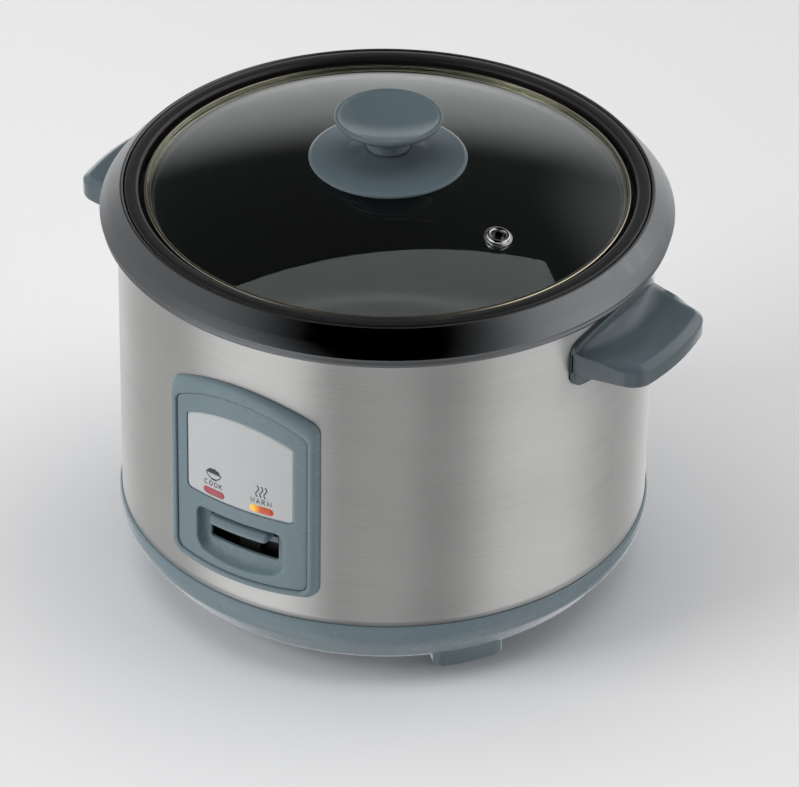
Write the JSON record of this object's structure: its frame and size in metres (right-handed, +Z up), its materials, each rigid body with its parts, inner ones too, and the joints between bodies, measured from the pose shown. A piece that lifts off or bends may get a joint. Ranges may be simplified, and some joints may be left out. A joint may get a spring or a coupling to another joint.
{
  "type": "rice cooker",
  "caption": "Drum rice cooker with a brushed steel body, lift-out pot, domed glass lid with a dished knob, side handles and a front cook and warm lever.",
  "frame": {"origin": "on the table, under the middle of the body", "axes": "+Z up, -Y out of the front panel, +X towards the handle on the viewer's right when the panel is faced"},
  "size_m": [0.334, 0.284, 0.2498],
  "materials": {
    "grey_plastic": "glossy blue-grey moulding",
    "ring_coat": "fine-textured charcoal moulding",
    "brushed_steel": "level brushed grain",
    "bright_steel": "bright",
    "sheet_steel": "plain sheet",
    "aluminium": "machined face, cast sides",
    "pot_coat": "dark non-stick coating",
    "lid_glass": "clear tempered glass",
    "label_print": "light grey printed plate",
    "red_lens": "dull red lens",
    "amber_lens": "amber lens",
    "black_plastic": "satin black moulding",
    "brass": "plain",
    "ceramic": "unglazed white",
    "circuit_board": "bare laminate",
    "magnet_iron": "dark grey ferrite",
    "rubber": "soft black"
  },
  "bodies": {
    "housing": {"base_ring": "grey_plastic", "bottom_cover": "sheet_steel", "control_bezel": "grey_plastic", "control_fascia": "grey_plastic", "cook_lamp": "brass", "cook_lens": "red_lens", "cover_screw_1": "sheet_steel", "cover_screw_2": "sheet_steel", "cover_screw_3": "sheet_steel", "foot_front_left": "grey_plastic", "foot_front_right": "grey_plastic", "foot_rear_left": "grey_plastic", "foot_rear_right": "grey_plastic", "handle_left": "grey_plastic", "handle_left_screw_1": "sheet_steel", "handle_left_screw_2": "sheet_steel", "handle_right": "grey_plastic", "handle_right_screw_1": "sheet_steel", "handle_right_screw_2": "sheet_steel", "heating_element": "sheet_steel", "heating_plate": "aluminium", "indicator_board": "circuit_board", "inlet_pin_earth": "brass", "inlet_pin_live": "brass", "inlet_pin_neutral": "brass", "inner_liner": "sheet_steel", "keep_warm_band": "ceramic", "label_plate": "label_print", "live_lead": "black_plastic", "magnet_spring": "bright_steel", "mechanism_bracket": "sheet_steel", "microswitch": "black_plastic", "neutral_lead": "black_plastic", "outer_shell": "brushed_steel", "pivot_pin": "bright_steel", "plate_screw_1": "sheet_steel", "plate_screw_2": "sheet_steel", "plate_screw_3": "sheet_steel", "plate_spacer_1": "ceramic", "plate_spacer_2": "ceramic", "plate_spacer_3": "ceramic", "power_inlet": "black_plastic", "sensor_spring": "bright_steel", "top_ring": "ring_coat", "warm_lamp": "brass", "warm_lens": "amber_lens"},
    "pot": {"inner_pot": "pot_coat"},
    "lid": {"lid_glass": "lid_glass", "lid_rim": "bright_steel", "steam_vent": "bright_steel", "knob_disc": "grey_plastic", "lid_knob": "grey_plastic", "knob_washer": "rubber", "knob_screw": "bright_steel"},
    "lever": {"lever_arm": "sheet_steel", "lever_knob": "grey_plastic"},
    "magnet": {"thermostat_magnet": "magnet_iron"},
    "sensor": {"thermostat_cap": "aluminium", "thermostat_ferrite": "magnet_iron"},
    "button": {"switch_button": "ceramic"}
  },
  "joints": [
    {"name": "pot_lift", "type": "slide", "parent": "housing", "child": "pot", "axis": [0, 0, 1], "range_m": [0, 0.2]},
    {"name": "lid_lift", "type": "slide", "parent": "pot", "child": "lid", "axis": [0, 0, 1], "range_m": [0, 0.12]},
    {"name": "lever_tilt", "type": "hinge", "parent": "housing", "child": "lever", "pos_m": [0, -0.044, 0.031], "axis": [1, 0, 0], "range_deg": [0, 5.7]},
    {"name": "magnet_slide", "type": "slide", "parent": "housing", "child": "magnet", "axis": [0, 0, 1], "range_m": [0, 0.0044], "deforming": ["magnet_spring"]},
    {"name": "button_press", "type": "slide", "parent": "housing", "child": "button", "axis": [0, 0, -1], "range_m": [0, 0.0031]},
    {"name": "sensor_press", "type": "slide", "parent": "housing", "child": "sensor", "axis": [0, 0, 1], "range_m": [-0.0012, 0], "stiffness_N_per_m": 800, "springref_m": 0.002, "deforming": ["sensor_spring"]}
  ],
  "couplings": [
    {"joint": "magnet_slide", "follows": "lever_tilt", "m_per_rad": 0.044},
    {"joint": "button_press", "follows": "lever_tilt", "m_per_rad": 0.03}
  ]
}
